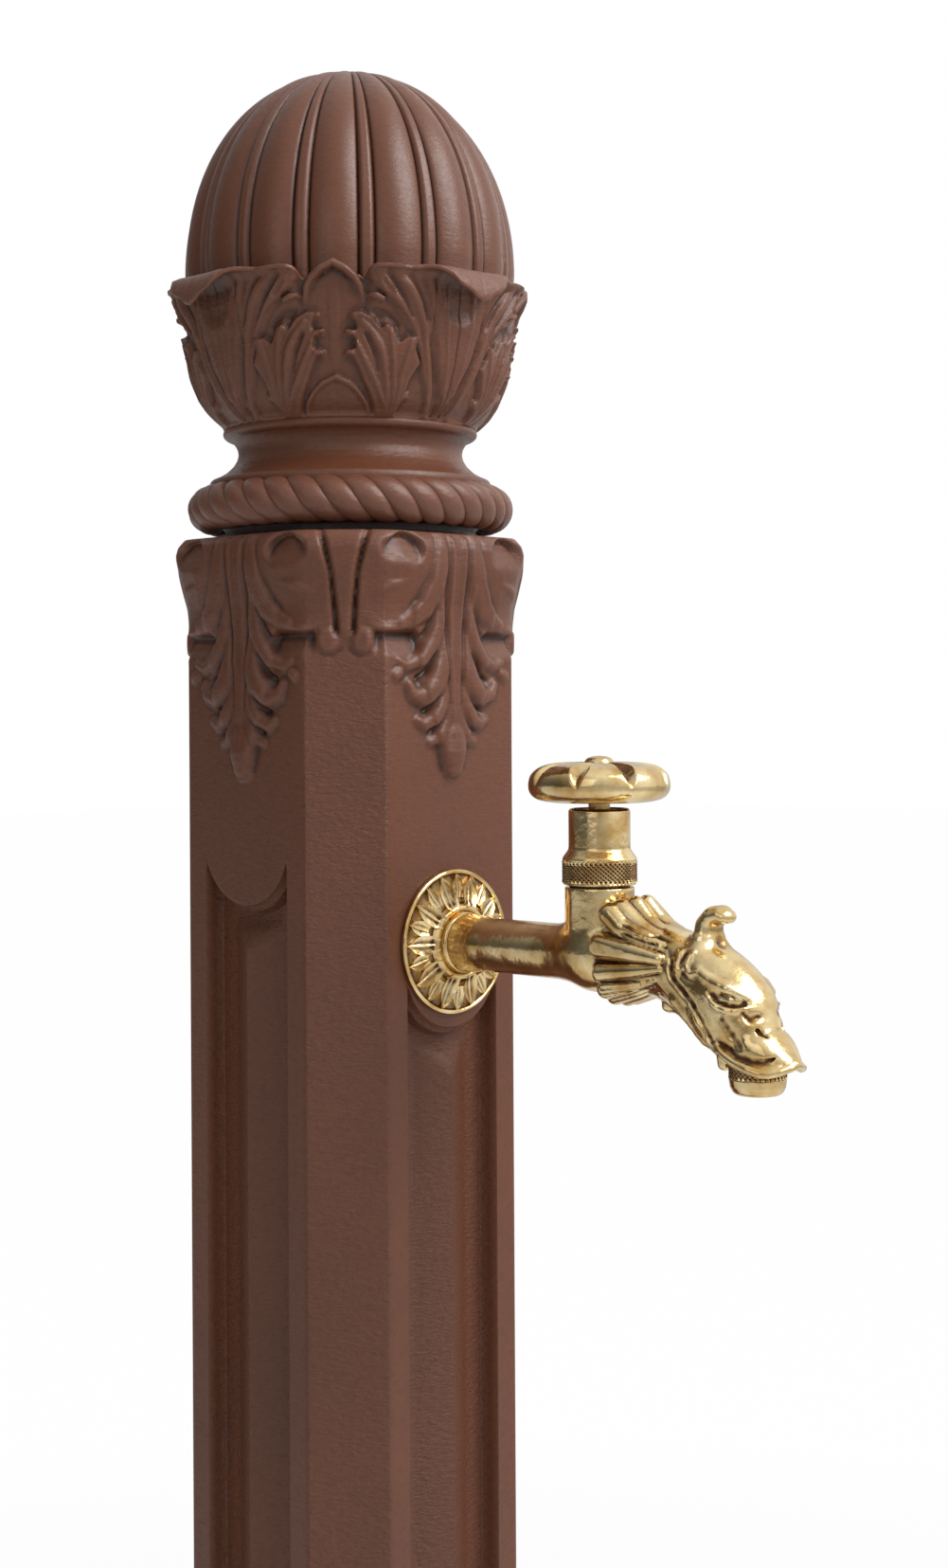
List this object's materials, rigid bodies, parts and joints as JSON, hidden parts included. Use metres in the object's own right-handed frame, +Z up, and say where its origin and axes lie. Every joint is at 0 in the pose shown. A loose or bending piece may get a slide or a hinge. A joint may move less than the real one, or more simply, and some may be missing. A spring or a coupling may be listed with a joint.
{
  "type": "garden standpipe",
  "caption": "Free-standing cast column with a leaf-cup finial and a creature-headed brass tap, for outdoor water supply.",
  "frame": {"origin": "on the column's axis at the ground, the centre of the four anchor holes", "axes": "+Z up the column, -Y towards the tap's outlet, +X to the right of a person who stands behind the column and looks over the tap"},
  "size_m": [0.196, 0.3172, 1.0566],
  "materials": {
    "painted_iron": "satin brown paint over a lightly grained casting",
    "galvanised_steel": "dull zinc coat",
    "aged_brass": "aged brass with dark patina in its hollows",
    "turned_brass": "plain turned brass",
    "black_rubber": "matt black rubber"
  },
  "bodies": {
    "post": {"base": "painted_iron", "column": "painted_iron", "base_bolts": "galvanised_steel", "base_washers": "galvanised_steel", "finial": "painted_iron", "finial_stud": "galvanised_steel", "stud_washer": "galvanised_steel", "stud_locknut": "galvanised_steel", "riser_pipe": "galvanised_steel", "pipe_grommet": "black_rubber", "inlet_coupling": "galvanised_steel", "tap_elbow": "galvanised_steel", "tail_backnut": "turned_brass", "tail_washer": "turned_brass", "rosette": "aged_brass", "tap_body": "aged_brass", "nozzle_ring": "aged_brass", "nozzle_gasket": "black_rubber", "jet_disc": "turned_brass", "body_gasket": "black_rubber", "headwork": "turned_brass", "gland_packing": "black_rubber", "gland_nut": "turned_brass", "knurled_cap": "aged_brass"},
    "jumper_set": {"jumper": "turned_brass", "seat_washer": "black_rubber", "jumper_nut": "turned_brass"},
    "spindle_set": {"spindle": "turned_brass", "handwheel": "aged_brass", "wheel_screw": "aged_brass"}
  },
  "joints": [
    {"name": "valve_lift", "type": "slide", "parent": "post", "child": "jumper_set", "axis": [0, 0, 1], "range_m": [0, 0.006]},
    {"name": "handwheel_turn", "type": "hinge", "parent": "jumper_set", "child": "spindle_set", "pos_m": [0, -0.131, 0.776], "axis": [0, 0, 1], "range_deg": [0, 1080]}
  ],
  "couplings": [
    {"joint": "valve_lift", "follows": "handwheel_turn", "m_per_rad": 0.0003183}
  ]
}
